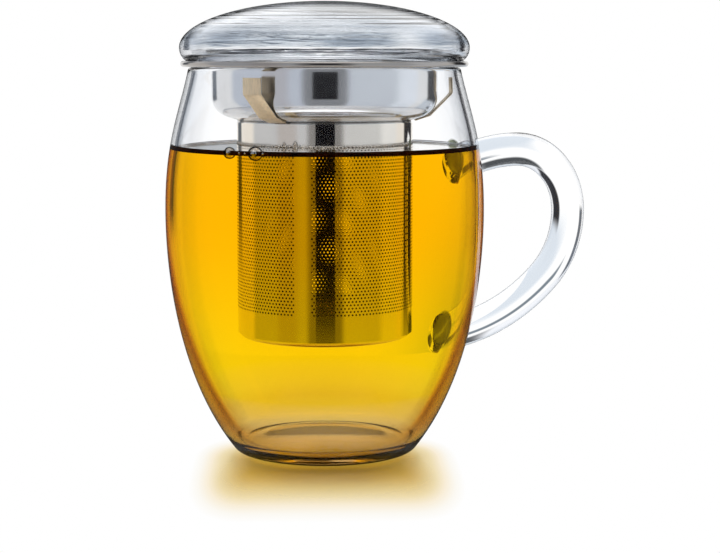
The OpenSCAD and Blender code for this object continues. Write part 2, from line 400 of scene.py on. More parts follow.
def borosilicate_glass(name, tint, wave, ripple_depth, inputs_with_painted_light):
    """Clear borosilicate glass, worked in the flame and fire-polished.

    The surface is perfectly smooth but never quite true: it has slow waves that bend what is
    seen through it. The long way along the wall takes a trace of blue. A function of the tree and
    the colour so far returns further inputs of the shader, among them painted light and shade."""
    material, tree = new_material(name)
    place = object_place(tree)
    waves = bump(tree, noise(tree, place, wave, 1.0), 0.02 * MM)
    rings = noise(tree, place, 1.1 * MM, 2.0, stretch=(0.06, 0.06, 1))
    tone = ramp(tree, facing_away(tree), [(0.3, WHITE), (0.9, (*tint, 1))])
    inputs = {"Base_Color": tone, "Roughness": 0.0, "Transmission_Weight": 1.0}
    inputs.update(inputs_with_painted_light(tree, tone))
    glass = add(tree, "ShaderNodeBsdfPrincipled", IOR=1.474,
                Normal=bump(tree, rings, ripple_depth, Normal=waves), **inputs)
    add(tree, "ShaderNodeOutputMaterial", Surface=glass)
    return material


def blown_joints_and_painted_light(joints):
    """Inputs of the blown mug's glass, with painted light and the two places where the rod is
    fused to the wall.

    Its reflection is painted by height: full near the foot, where it mirrors the white table,
    and dimmed higher up. Seen from inside, each joint is a slightly rough oval; its greenish tint
    and darker outline are painted light and shade for the light that the rod's end passes through
    the tea."""
    def inputs_with_painted_light(tree, tone):
        # Painted reflection: full near the foot, dimmed to 0.12 higher up
        shine = slope(tree, object_height(tree), 10 * MM, 38 * MM, 1.0, 0.12)
        place = object_place(tree)
        near = number(tree, "MINIMUM", *(measure(tree, "DISTANCE", place, joint)
                                         for joint in joints))
        inside = slope(tree, near, 4.9 * MM, 5.7 * MM, 1.0, 0.0)
        # Painted light and shade: a greenish tint with a darker outline round each joint
        oval = ramp(tree, number(tree, "MULTIPLY", near, 1 / (7 * MM)),
                    [(0.0, "D8EEB4"), (0.6, "C4DC98"), (0.72, "76824C"),
                     (0.82, WHITE)])
        return {"Base_Color": blended(tree, 1.0, tone, oval, "MULTIPLY"),
                "Roughness": number(tree, "MULTIPLY", inside, 0.4),
                "Transmission_Weight": slope(tree, inside, 0, 1, 1.0, 0.45, smooth=False),
                "Specular_Tint": add(tree, "ShaderNodeCombineColor", Red=shine, Green=shine,
                                     Blue=shine)}
    return inputs_with_painted_light


def pressed_painted_streaks(low, high):
    """Painted shade on the pressed lid: fine grey-blue rings that darken the light through the
    dome in uneven patches.
    """
    def inputs_with_painted_light(tree, tone):
        place = object_place(tree)
        lines = noise(tree, place, 1.0 * MM, 3.0, stretch=(0.035, 0.035, 1))
        paint_share = slope(tree, noise(tree, place, 19 * MM, 1.0), 0.3, 0.6, 0.45, smooth=False)
        height = object_height(tree)
        for start, end in ((low, low + 2.5 * MM), (high, high - 4 * MM)):
            paint_share = number(tree, "MULTIPLY", paint_share, slope(tree, height, start, end))
        # Painted shade: grey-blue streaks laid into the glass's colour
        painted_streaks = ramp(tree, lines, [(0.34, "8996A3"), (0.5, "B9C3CE"),
                                     (0.66, "EDF1F5")])
        return {"Base_Color": blended(tree, paint_share, tone, painted_streaks, "MULTIPLY")}
    return inputs_with_painted_light


def stainless_steel(name, base, roughness, spread):
    """Stainless steel sheet, cold rolled and polished on the lathe.

    Polishing leaves fine lines round the axis, which smear each reflection up and down but keep
    its sides sharp, and faint clouds where the wheel pressed more or less."""
    material, tree = new_material(name)
    place = object_place(tree)
    grain = noise(tree, place, 0.35 * MM, 3.0, stretch=(0.1, 0.1, 1))
    clouds = noise(tree, place, 9 * MM, 2.0)
    shade = blended(tree, clouds, (*(0.9 * c for c in base), 1), (*base, 1))
    rough = slope(tree, clouds, 0, 1, roughness * 0.8, roughness * 1.25, smooth=False)
    round_axis = add(tree, "ShaderNodeTangent", {"direction_type": "RADIAL", "axis": "Z"})
    steel = add(tree, "ShaderNodeBsdfPrincipled", Base_Color=shade, Metallic=1.0,
                Roughness=rough, Anisotropic=spread, Anisotropic_Rotation=0.25,
                Normal=bump(tree, grain, 0.003 * MM, 0.6), Tangent=round_axis)
    add(tree, "ShaderNodeOutputMaterial", Surface=steel)
    return material


def straw_tinted_steel(name, base):
    """Spring steel as it comes from the tempering oven, with a matt straw-coloured skin.

    The thin oxide scatters light, so the tabs look pale and dull beside the polished dish."""
    material, tree = new_material(name)
    grain = noise(tree, object_place(tree), 0.5 * MM, 3.0, stretch=(1, 1, 0.15))
    tone = ramp(tree, grain, [(0.35, (*(0.85 * c for c in base), 1)), (0.6, (*base, 1))])
    steel = add(tree, "ShaderNodeBsdfPrincipled", Base_Color=tone, Metallic=1.0,
                Roughness=0.42, Normal=bump(tree, grain, 0.01 * MM, 0.5))
    add(tree, "ShaderNodeOutputMaterial", Surface=steel)
    return material


def shaded_inner_steel(name):
    """Inside of the perforated sheet, which isn't polished, darkened to a brown grey as painted
    shade.

    It gives back so little light that the holes read as darker dots from outside."""
    material, tree = new_material(name)
    film = noise(tree, object_place(tree), 5 * MM, 4.0)
    tone = ramp(tree, film, [(0.3, "7C6E5C"), (0.7, "A89A84")])
    steel = add(tree, "ShaderNodeBsdfPrincipled", Base_Color=tone, Metallic=0.5, Roughness=0.5)
    add(tree, "ShaderNodeOutputMaterial", Surface=steel)
    return material


def tea_depth(tree):
    """The inside of the tea, which takes a little more blue on a long way."""
    return add(tree, "ShaderNodeVolumeAbsorption", Color=srgb("FFE08A"), Density=6.0)


def brewed_tea(name, props):
    """Brewed green tea, a clear liquid that takes the blue out of light and some of the green.

    The glass of the wall already bends the light, so the body of the tea only tints it there.
    Low down the tint is a paler tan, painted shade of the table seen through the floor, and where
    the tea is seen at a low angle a dark line of painted shade runs along the outline of the wall."""
    material, tree = new_material(name)
    height = object_height(tree)
    # Painted shade: low down the tint is a paler tan, for the shaded table seen through the floor
    tone = ramp(tree, slope(tree, height, 0.0, 62 * MM, smooth=False),
                [(0.03, "D9C08C"), (0.09, "DDB85C"), (0.15, "DEB258"),
                 (0.21, "EEC85C"), (0.32, (*props.gold, 1)), (1.0, (*props.amber, 1))])
    # The painted dark line of shade along the outline of the wall lies further in at the foot
    shift = slope(tree, height, 12 * MM, 60 * MM, 0.04, -0.012, smooth=False)
    painted_edge_shade = ramp(tree, number(tree, "ADD", facing_away(tree), shift),
                [(0.212, WHITE), (0.242, "F8E8BC"), (0.254, "DCAE60"),
                 (0.264, "B07A30"), (0.285, "D8B068"), (0.31, "EAD09A")])
    # Less of the painted edge shade near the foot
    paint_share = slope(tree, height, 3 * MM, 12 * MM, 0.15, 1.0)
    tea = add(tree, "ShaderNodeBsdfPrincipled",
              Base_Color=blended(tree, paint_share, tone, painted_edge_shade, "MULTIPLY"), Roughness=0.0, IOR=1.0,
              Transmission_Weight=1.0, Specular_Tint=(0.1, 0.1, 0.1, 1))
    add(tree, "ShaderNodeOutputMaterial", Surface=tea, Volume=tea_depth(tree))
    return material


def tea_surface(name):
    """The open surface of the tea, a still mirror for the steel and glass above it."""
    material, tree = new_material(name)
    ripples = bump(tree, noise(tree, object_place(tree), 22 * MM, 1.0), 0.03 * MM)
    tea = add(tree, "ShaderNodeBsdfPrincipled", Base_Color=srgb("FFF3D6"), Roughness=0.0,
              IOR=1.33, Transmission_Weight=1.0, Normal=ripples)
    mirror = add(tree, "ShaderNodeBsdfGlossy", Color=srgb("FAFBFC"), Roughness=0.07,
                 Normal=ripples)
    add(tree, "ShaderNodeOutputMaterial", Surface=mixed(tree, 0.9, tea, mirror),
        Volume=tea_depth(tree))
    return material


def painted_dark_meniscus(name):
    """Rim of the tea where it climbs the glass and turns the light away.

    From outside the mug it is painted nearly black, as painted shade for the light it turns
    away. From inside it doesn't show."""
    material, tree = new_material(name)
    patches = noise(tree, object_place(tree), 6 * MM, 2.0)
    # Painted shade: near-black browns for the rim
    tone = ramp(tree, patches, [(0.3, "1C0A02"), (0.7, "3A1A06")])
    rim = add(tree, "ShaderNodeBsdfPrincipled", Base_Color=tone, Roughness=0.3, IOR=1.1)
    clear = add(tree, "ShaderNodeBsdfTransparent", Color=WHITE)
    behind = add(tree, "ShaderNodeNewGeometry").outputs["Backfacing"]
    add(tree, "ShaderNodeOutputMaterial", Surface=mixed(tree, behind, rim, clear))
    return material


def tea_bubble(name):
    """Bubble of air under a film of tea, clear with a bright top and a dark brown outline of
    painted shade.
    """
    material, tree = new_material(name)
    # Painted shade: where the bubble is seen edge-on it turns dark brown
    outline = ramp(tree, facing_away(tree), [(0.28, (0, 0, 0, 1)), (0.5, WHITE)])
    film = add(tree, "ShaderNodeBsdfPrincipled", Base_Color=srgb("FFF6EA"), Roughness=0.0,
               IOR=1.05, Transmission_Weight=1.0)
    shine = add(tree, "ShaderNodeBsdfGlossy", Color=srgb("FFFFFF"), Roughness=0.05)
    dark = add(tree, "ShaderNodeBsdfPrincipled", Base_Color=srgb("1E0E04"), Roughness=0.15)
    add(tree, "ShaderNodeOutputMaterial",
        Surface=mixed(tree, outline, mixed(tree, 0.3, film, shine), dark))
    return material


# ---------------------------------------------------------------- the mug

# How far the flat inner floor and the punt end inside the standing ring
FLOOR_INSET = 4 * MM
PUNT_INSET = 4.6 * MM


def mug_outlines(p):
    """Outer side from the rim down to the standing ring, and inner side from the rim down."""
    lean = math.atan(p.neck_lean)
    lip = p.height - p.wall / 2 * (1 - math.sin(lean))
    neck = 0.3 * (p.height - p.belly_height)
    foot = Vector((p.foot_radius, p.foot_round))
    foot_lean = 52
    heel = foot + p.foot_round * direction(foot_lean - 90)
    belly = Vector((p.belly_radius, p.belly_height))
    up = Vector((0, 1))
    upper = [Vector((p.rim_radius, lip)), Vector((p.rim_radius + p.neck_lean * neck, lip - neck)),
             belly + 0.49 * (p.height - p.belly_height) * up, belly]
    lower = [belly, belly - 0.31 * p.belly_height * up,
             heel + 0.335 * p.belly_height * direction(foot_lean), heel]
    upper_steps, lower_steps, bend_steps = 26, 36, 20
    outer = [bezier(upper, i / upper_steps) for i in range(upper_steps)]
    outer += [bezier(lower, i / lower_steps) for i in range(lower_steps)]
    outer += arc(foot, p.foot_round, foot_lean - 90, -90, 10)
    inner = []
    for i in range(upper_steps):
        t = i / upper_steps
        inner.append(bezier(upper, t) + p.wall * left_of(-bezier_way(upper, t)))
    # The inner side follows the outer one nearly to the heel, then bends into the flat floor
    turn = 0.95
    for i in range(lower_steps + 1):
        t = turn * i / lower_steps
        wall = p.wall + (p.heel_wall - p.wall) * t ** 3
        inner.append(bezier(lower, t) + wall * left_of(-bezier_way(lower, t)))
    flat = p.foot_radius - FLOOR_INSET
    bend = [inner[-1], inner[-1] + 1.5 * MM * bezier_way(lower, turn),
            Vector((flat + 2.5 * MM, p.floor)), Vector((flat, p.floor))]
    inner += [bezier(bend, i / bend_steps) for i in range(1, bend_steps + 1)]
    return outer, inner


def radius_at(outline, height):
    """Radius of an outline where it passes a height on the way down."""
    for a, b in zip(outline, outline[1:]):
        if a[1] >= height >= b[1] and a[1] > b[1]:
            return a[0] + (b[0] - a[0]) * (a[1] - height) / (a[1] - b[1])
    return outline[-1][0]


def handle_path(p, outer):
    """Middle line of the rod in the plane of the handle, from the upper to the lower end."""
    # Radii of the bends in mm: over the top, down the side, away from the wall and back to it.
    # The side turns by an angle in degrees before the rod goes back.
    top_bend, side_bend, off_bend, back_bend, side_turn = 19.3, 26.8, 52.4, 59.1, 47.6
    reach = p.belly_radius + p.finger_gap + p.rod_radius
    top = Vector((reach - top_bend * MM, p.loop_height))
    side = Vector((reach - side_bend * MM, p.loop_height))
    off = Vector((top[0], p.loop_height + (top_bend - off_bend) * MM))
    back = side + (side_bend - back_bend) * MM * direction(-side_turn)
    path = arc(off, off_bend * MM, 90 + 26, 90, 24)
    path += arc(top, top_bend * MM, 90, 0, 40)[1:]
    path += arc(side, side_bend * MM, 0, -side_turn, 28)[1:]
    path += arc(back, back_bend * MM, -side_turn, -side_turn - 40, 40)[1:]
    # Keep what lies outside the wall, with a little room for the flared ends
    return [q for q in path if q[0] > radius_at(outer, q[1]) + 3.2 * MM]


def matched(row, reference):
    """The same ring of points, started and turned like the reference ring."""
    def miss(ring):
        return sum((ring[k] - reference[k]).length for k in range(0, len(ring), 8))

    return min((ring[shift:] + ring[:shift] for ring in (row, row[::-1])
                for shift in range(len(row))), key=miss)


def rod_mesh(p, outer):
    """The bent rod, flared at both ends and ending inside the wall."""
    sides, landing_steps = 48, 9

    def in_space(v):
        """A vector of the handle's plane in space."""
        return Vector((v[0], 0, v[1]))

    def circle(middle, way, radius):
        """Ring of points round a point of the middle line, square to its way."""
        across = Vector((0, 1, 0))
        third = in_space(way).cross(across)
        return [in_space(middle) + radius * (math.cos(a) * across + math.sin(a) * third)
                for a in (2 * math.pi * k / sides for k in range(sides))]

    def in_wall(point, way):
        """Where a line from a point comes to 1 mm under the outside of the wall."""
        low, high = 0.0, 14 * MM
        for _ in range(30):
            mid = (low + high) / 2
            q = point + way * mid
            if math.hypot(q.x, q.y) > radius_at(outer, q.z) - 1.0 * MM:
                low = mid
            else:
                high = mid
        return point + way * low

    def landing(middle, before):
        """Rings from the free rod to the wall, widening as they get there."""
        way = (middle - before).normalized()
        centre, wide = in_space(middle), circle(middle, way, p.flare_radius)
        ends = [in_wall(point, in_space(way)) for point in wide]
        rows = []
        for i in range(1, landing_steps + 1):
            t = i / landing_steps
            grow = (p.rod_radius + (p.flare_radius - p.rod_radius) * t ** 3) / p.flare_radius
            rows.append([centre + (point - centre) * grow + (end - point) * t
                         for point, end in zip(wide, ends)])
        return rows

    path = handle_path(p, outer)
    free = [circle(point, way, p.rod_radius) for point, way in zip(path, ways_along(path))]
    # The first landing runs the other way round, so its rings are matched by nearness
    rings = [matched(row, free[0]) for row in landing(path[0], path[1])[::-1]]
    rings += free + landing(path[-1], path[-2])
    numbers = [range(i * sides, (i + 1) * sides) for i in range(len(rings))]
    faces = [face for pair in zip(numbers, numbers[1:]) for face in band(*pair)]
    return [v for row in rings for v in row], faces + [numbers[0], numbers[-1]]


class TEAMUG_OT_mug_glass(bpy.types.Operator):
    """Blow the mug and fuse the handle's rod to its wall"""
    bl_idname = "teamug.mug_glass"
    bl_label = "Mug and Handle"

    def execute(self, context):
        p = context.scene.tea_mug
        outer, inner = mug_outlines(p)
        punt_radius = p.foot_radius - PUNT_INSET
        ball = punt_radius ** 2 / (2 * p.punt) + p.punt / 2
        edge = math.degrees(math.asin(punt_radius / ball))
        punt = arc((0, p.punt - ball), ball, 90 - edge, 90, 14)
        punt[-1][0] = 0.0
        lean = math.degrees(math.atan(p.neck_lean))
        lip = arc((outer[0] + inner[0]) / 2, p.wall / 2, 180 + lean, lean, 16)
        floor = [Vector(((p.foot_radius - FLOOR_INSET) * i / 8, p.floor)) for i in range(8)]
        outline = outer + punt + floor + inner[::-1] + lip[1:-1]
        mug = new_object("mug_glass", *revolve(outline, 224), sharp_angle=60)
        rod = new_object("mug_rod", *rod_mesh(p, outer), sharp_angle=60)
        union = mug.modifiers.new("Fuse", "BOOLEAN")
        union.operation, union.solver, union.object = "UNION", "EXACT", rod
        apply_modifiers(mug, 60)
        bpy.data.objects.remove(rod)
        # Where the ends of the rod show through the wall, a little above its middle line
        path = handle_path(p, outer)
        joints = []
        for end, rise in ((path[0], 1.2 * MM), (path[-1], 1.5 * MM)):
            joints.append((*(radius_at(inner, end[1]) * direction(-5)), end[1] + rise))
        glass = borosilicate_glass("blown borosilicate glass", p.tint, 24 * MM, 0.001 * MM,
                                   blown_joints_and_painted_light(joints))
        hand_over(mug, [glass], "mug", "mug_glass", "mug_body", "handle")
        return {"FINISHED"}


# ---------------------------------------------------------------- the strainer

# Fall of the collar's shoulder towards the basket, in degrees
SHOULDER_SLOPE = 18
# Height of the lowest row of holes over the basket's bottom, and what is left plain in all
FIRST_ROW = 9 * MM
PLAIN_HEIGHT = 15.3 * MM


def strainer_heights(mug, s):
    """Heights of the flange, the basket's top and its bottom."""
    flange = mug.height + SEAT_GAP
    top = flange - s.dish_depth
    return flange, top, top - s.basket_height


def skirt_radius(s):
    """Middle radius of the skirts of collar and floor, which are welded into the wall."""
    return s.basket_radius - s.mesh_sheet - WELD_GAP - s.sheet / 2


def row_pitch(s):
    """Distance between neighbouring rows of holes."""
    return s.pitch * math.sin(math.radians(60))


def collar_path(mug, s):
    """Middle of the collar's sheet, and the radius and height where its shoulder starts."""
    flange, top, _ = strainer_heights(mug, s)
    bead = Vector((mug.rim_radius + s.bead_reach - s.bead, flange + s.bead))
    dish = s.dish_radius - s.sheet / 2
    bend, neck_bend, neck = 1.2 * MM, 0.8 * MM, skirt_radius(s)
    sine, cosine, tangent = (f(math.radians(SHOULDER_SLOPE))
                             for f in (math.sin, math.cos, math.tan))
    shoulder_in = neck + neck_bend * (1 - sine)
    shoulder_z = top + s.sheet / 2 + neck_bend * (cosine - 0.5)
    round_end = dish - s.dish_round * (1 - sine)
    round_z = shoulder_z + (round_end - shoulder_in) * tangent + s.dish_round * cosine
    path = arc(bead, s.bead - s.sheet / 2, 185, -90, 30)
    path += [Vector((r, path[-1][1])) for r in (bead[0] - 2 * MM, dish + bend + 2 * MM)]
    path += arc((dish + bend, flange + s.sheet / 2 - bend), bend, 90, 180, 12)
    path += arc((dish - s.dish_round, round_z), s.dish_round, 0, SHOULDER_SLOPE - 90, 30)
    path += arc((neck + neck_bend, shoulder_z - neck_bend * cosine), neck_bend,
                90 + SHOULDER_SLOPE, 180, 10)
    path.append(Vector((neck, top - 3 * MM)))
    return path, shoulder_in, shoulder_z


class TEAMUG_OT_collar(bpy.types.Operator):
    """Press the strainer's collar with its rolled edge and dish"""
    bl_idname = "teamug.collar"
    bl_label = "Strainer Collar"

    def execute(self, context):
        s = context.scene.tea_strainer
        path = collar_path(context.scene.tea_mug, s)[0]
        collar = new_object("strainer_collar_sheet", *revolve(bent_sheet(path, s.sheet), 240),
                            sharp_angle=50)
        dish = stainless_steel("spun stainless steel", s.steel, 0.12, 0.5)
        edge = stainless_steel("rolled stainless edge in painted shade", s.edge, 0.14, 0.3)
        # The rolled edge is a little rougher than the dish, and its darker steel is painted shade
        # for the dim low front that it mirrors
        hand_over(collar, [dish, edge], "strainer", "collar_steel", "strainer_collar",
                  second=lambda face: from_axis(face) > path[0][0] - s.bead)
        return {"FINISHED"}


def basket_wall_part(name, s, bottom, first_row, rows, columns, ends):
    """Rows of the basket's wall as a closed sheet with real holes.

    The ends are the heights to which plain sheet goes on below and above the rows, or None.
    Returns the part and how many faces its outside and ends have, which come first."""
    step = 2 * math.pi / columns
    radii = (s.basket_radius, s.basket_radius - s.mesh_sheet)
    seam = s.seam_turn + s.turn
    half_seam = s.seam_width / 2 / s.basket_radius
    sixth = s.pitch / math.sqrt(3)
    vertices, known = [], {}

    def at(angle, z, side):
        """Index of a new point at an angle round the axis, on the outside or the inside."""
        vertices.append((radii[side] * math.cos(angle), radii[side] * math.sin(angle), z))
        return len(vertices) - 1

    def place(x, z, side):
        """Index of the shared point at x columns from the seam."""
        key = (round(x * 12) % (12 * columns), round(z * 1e7), side)
        if key not in known:
            known[key] = at(seam + x * step, z, side)
        return known[key]

    def row_height(row):
        return bottom + FIRST_ROW + row * row_pitch(s)

    def columns_of(row):
        return [i + 0.5 * (row % 2) for i in range(columns)]

    outside, inside = [], []
    for row in range(first_row, first_row + rows):
        z = row_height(row)
        for x in columns_of(row):
            turn = x * step
            cell = [(x, z + sixth), (x + 0.5, z + sixth / 2), (x + 0.5, z - sixth / 2),
                    (x, z - sixth), (x - 0.5, z - sixth / 2), (x - 0.5, z + sixth / 2)]
            plain = min(turn, 2 * math.pi - turn) < half_seam
            holes = []
            for side, faces in enumerate((outside, inside)):
                edge = [place(*corner, side) for corner in cell]
                if plain:
                    faces.append(edge)
                    continue
                hole = [at(seam + turn + s.hole / 2 * math.cos(a) / s.basket_radius,
                           z + s.hole / 2 * math.sin(a), side)
                        for a in (math.radians(90 - 60 * k) for k in range(6))]
                faces += band(edge, hole)
                holes.append(hole)
            if holes:
                inside += band(*holes)

    for row, sign, end in ((first_row, -1, ends[0]), (first_row + rows - 1, 1, ends[1])):
        # Zigzag line along the edge of the outermost row, drawn out to the plain end
        line = []
        for x in columns_of(row):
            line += [(x - 0.5, row_height(row) + sign * sixth / 2),
                     (x, row_height(row) + sign * sixth)]
        levels = [line]
        if end is not None:
            levels += [[(x, z + (end - z) * h / 8) for x, z in line] for h in range(1, 9)]
        borders = []
        for side, faces in enumerate((outside, inside)):
            rings = [[place(x, z, side) for x, z in level] for level in levels]
            for pair in zip(rings, rings[1:]):
                faces += band(*pair)
            borders.append(rings[-1])
        outside += band(*borders)
    return new_object(name, vertices, outside + inside, sharp_angle=35), len(outside)


class TEAMUG_OT_basket_wall(bpy.types.Operator):
    """Roll the basket's wall from perforated sheet"""
    bl_idname = "teamug.basket_wall"
    bl_label = "Basket Wall"

    def execute(self, context):
        s = context.scene.tea_strainer
        _, top, bottom = strainer_heights(context.scene.tea_mug, s)
        columns = round(2 * math.pi * s.basket_radius / s.pitch)
        rows = int((s.basket_height - PLAIN_HEIGHT) / row_pitch(s)) + 1
        half = rows // 2
        steel = stainless_steel("perforated stainless steel", s.basket_steel, 0.07, 0.6)
        # Painted shade: the inside of the perforated sheet is darker steel
        painted_shade_steel = shaded_inner_steel("inner steel in painted shade")
        for name, first, count, ends in (
                ("basket_wall_lower", 0, half, (bottom + 1.4 * MM, None)),
                ("basket_wall_upper", half, rows - half, (None, top - 0.15 * MM))):
            part, outside = basket_wall_part(name, s, bottom, first, count, columns, ends)
            hand_over(part, [steel, painted_shade_steel], "strainer", "basket_steel", "basket_wall",
                      second=lambda face: face.index >= outside)
        return {"FINISHED"}


class TEAMUG_OT_basket_floor(bpy.types.Operator):
    """Press the basket's floor with its skirt and punch its holes"""
    bl_idname = "teamug.basket_floor"
    bl_label = "Basket Floor"

    def execute(self, context):
        s = context.scene.tea_strainer
        bottom = strainer_heights(context.scene.tea_mug, s)[2]
        bend, middle = 1.4 * MM, bottom + s.sheet / 2
        flat = skirt_radius(s) - bend
        path = [Vector((skirt_radius(s), bottom + height)) for height in (7 * MM, 4 * MM)]
        path += arc((flat, middle + bend), bend, 0, -90, 10)
        steps = 180
        vertices, faces = revolve(bent_sheet(path, s.sheet), steps)
        shape = bmesh.new()

        def skin(faces):
            for corners in faces:
                shape.faces.new(corners)

        # The bent edge is left open at its inner border, where the perforated middle joins it
        points = [shape.verts.new(v) for v in vertices]
        skin([points[v] for v in face] for face in faces
             if {v // steps for v in face} != {len(path) - 1, len(path)})

        levels = (middle - s.sheet / 2, middle + s.sheet / 2)
        shared = {}

        def corner(x, y, side):
            """The one corner that neighbouring cells share, found in spite of rounding."""
            key = (round(x * 1e7), round(y * 1e7), side)
            for dx in (-1, 0, 1):
                for dy in (-1, 0, 1):
                    near = (key[0] + dx, key[1] + dy, side)
                    if near in shared:
                        return shared[near]
            shared[key] = shape.verts.new((x, y, levels[side]))
            return shared[key]

        def hexagon(x, y, radius):
            angles = [math.radians(30 + 60 * k) for k in range(6)]
            return [(x + radius * math.cos(a), y + radius * math.sin(a)) for a in angles]

        across = int(flat / s.pitch) + 2
        for u in range(-across, across + 1):
            for v in range(-across, across + 1):
                x, y = s.pitch * (u + v / 2), row_pitch(s) * v
                if math.hypot(x, y) > flat - 1.2 * MM:
                    continue
                holes = []
                for side, level in enumerate(levels):
                    cell = [corner(*q, side) for q in hexagon(x, y, s.pitch / math.sqrt(3))]
                    hole = [shape.verts.new((*q, level)) for q in hexagon(x, y, s.hole / 2)]
                    skin(band(cell, hole))
                    holes.append(hole)
                skin(band(*holes))
        for level in levels:
            border = [e for e in shape.edges if e.is_boundary
                      and all(abs(v.co.z - level) < 1e-6 for v in e.verts)]
            bmesh.ops.triangle_fill(shape, edges=border, use_beauty=True)
        turn = Matrix.Rotation(s.turn, 4, "Z")
        bmesh.ops.transform(shape, matrix=turn, verts=shape.verts)
        bmesh.ops.recalc_face_normals(shape, faces=shape.faces)
        pan = object_from("basket_floor_pan", shape, 35)
        hand_over(pan, [bpy.data.materials["perforated stainless steel"]], "strainer",
                  "basket_steel", "basket_floor")
        return {"FINISHED"}


def rounded_path(points, radius):
    """The same path with each inner corner turned into a small bend."""
    path = [points[0]]
    for before, corner, after in zip(points, points[1:], points[2:]):
        into = (corner - before).normalized()
        out = (after - corner).normalized()
        cut = radius * math.tan(into.angle(out) / 2)
        a, b = corner - into * cut, corner + out * cut
        path += [(1 - t) ** 2 * a + 2 * t * (1 - t) * corner + t * t * b
                 for t in (i / 6 for i in range(7))]
    path.append(points[-1])
    return path


def strip(name, outline, width, turn, lean):
    """Plate of an outline of (radius, height) points, given a width and turned into place."""
    c, s = math.cos(turn), math.sin(turn)
    near, far = min(r for r, _ in outline), max(r for r, _ in outline)
    vertices = []
    for edge in (-width / 2, width / 2):
        for r, z in outline:
            y = edge + lean * (r - near) / (far - near)
            vertices.append((r * c - y * s, r * s + y * c, z))
    n = len(outline)
    sides = [range(n), range(n, 2 * n)]
    return new_object(name, vertices, sides + band(*sides))


class TEAMUG_OT_spring_tabs(bpy.types.Operator):
    """Bend the three spring tabs that centre the strainer"""
    bl_idname = "teamug.spring_tabs"
    bl_label = "Spring Tabs"

    def execute(self, context):
        mug, s = context.scene.tea_mug, context.scene.tea_strainer
        flange = strainer_heights(mug, s)[0]
        _, shoulder_in, shoulder_z = collar_path(mug, s)
        # A tab runs from the shoulder out to the mug's mouth and up along it
        way = direction(180 + SHOULDER_SLOPE)
        tip = Vector((mug.rim_radius - mug.wall - 0.1 * MM - s.tab_sheet / 2,
                      flange - 2.9 * MM))
        knee = tip - Vector((0, 4.4 * MM))
        start, lift = 0.6 * MM, (s.sheet + s.tab_sheet) / 2 + WELD_GAP
        foot = Vector((shoulder_in + start,
                       shoulder_z + start * math.tan(math.radians(SHOULDER_SLOPE))))
        foot += lift * left_of(way)
        heel = foot - 4.4 * MM * way
        steel = straw_tinted_steel("straw-tinted spring steel", s.straw)
        outline = bent_sheet(rounded_path([foot, heel, knee, tip], 0.9 * MM), s.tab_sheet)
        # How far the tip of each tab is bent to the side
        for k, lean in enumerate((0, 0, -1.3 * MM)):
            tab = strip("spring_tab_strip_%d" % (k + 1), outline, s.tab_width,
                        s.turn + 2 * math.pi * k / 3, lean)
            bevel = tab.modifiers.new("Deburred edges", "BEVEL")
            bevel.width, bevel.segments = 0.08 * MM, 2
            bevel.limit_method, bevel.angle_limit = "ANGLE", math.radians(50)
            apply_modifiers(tab, 40)
            hand_over(tab, [steel], "strainer", "tab_steel", "spring_tab_%d" % (k + 1))
        return {"FINISHED"}


# ---------------------------------------------------------------- the lid

class TEAMUG_OT_lid(bpy.types.Operator):
    """Press the domed glass lid with its rounded edge and turned-in lip"""
    bl_idname = "teamug.lid"
    bl_label = "Lid"

    def execute(self, context):
        mug, s, p = (context.scene.tea_mug, context.scene.tea_strainer, context.scene.tea_lid)
        seat = strainer_heights(mug, s)[0] + s.sheet + SEAT_GAP
        wide = seat + p.edge
        edge_width, lip_round = 5 * MM, p.edge_wall / 2
        middle = (p.radius - edge_width, wide)
        dome_out = arc((0, wide), (p.radius, p.height - p.edge), 90, 0, 110)
        edge_out = arc(middle, (edge_width, p.edge), 0, -90, 24)[1:]
        lip = arc((middle[0] - p.lip + 1.6 * MM, seat + lip_round), lip_round, -90, -270, 20)
        edge_in = arc(middle, (edge_width - p.edge_wall, p.edge - p.edge_wall), -90, 0, 16)
        dome_in = arc((0, wide), (p.radius - p.edge_wall, p.height - p.edge - p.wall),
                      0, 90, 120)[1:]
        dome_out[0][0] = dome_in[-1][0] = 0.0
        # Faint rings that the press leaves in the inside of the dome: width, phase and height,
        # with the lengths in mm
        waves = random.Random(7)
        rings = [(waves.uniform(1.4, 4.2), waves.uniform(0, 6.28), waves.uniform(0.006, 0.02))
                 for _ in range(5)]
        for point in dome_in[:-4]:
            r = point[0] / MM
            fade = min(1.0, r / 6)
            point[1] += fade * MM * sum(h * math.sin(2 * math.pi * r / w + f)
                                        for w, f, h in rings)
        outline = dome_out + edge_out + lip + edge_in + dome_in
        lid = new_object("lid_dome", *revolve(outline, 200), sharp_angle=60)
        glass = borosilicate_glass("pressed borosilicate glass", mug.tint, 18 * MM, 0.06 * MM,
                                   pressed_painted_streaks(seat + 4 * MM, seat + 12 * MM))
        hand_over(lid, [glass], "lid", "lid_glass", "lid")
        return {"FINISHED"}


# ---------------------------------------------------------------- the tea

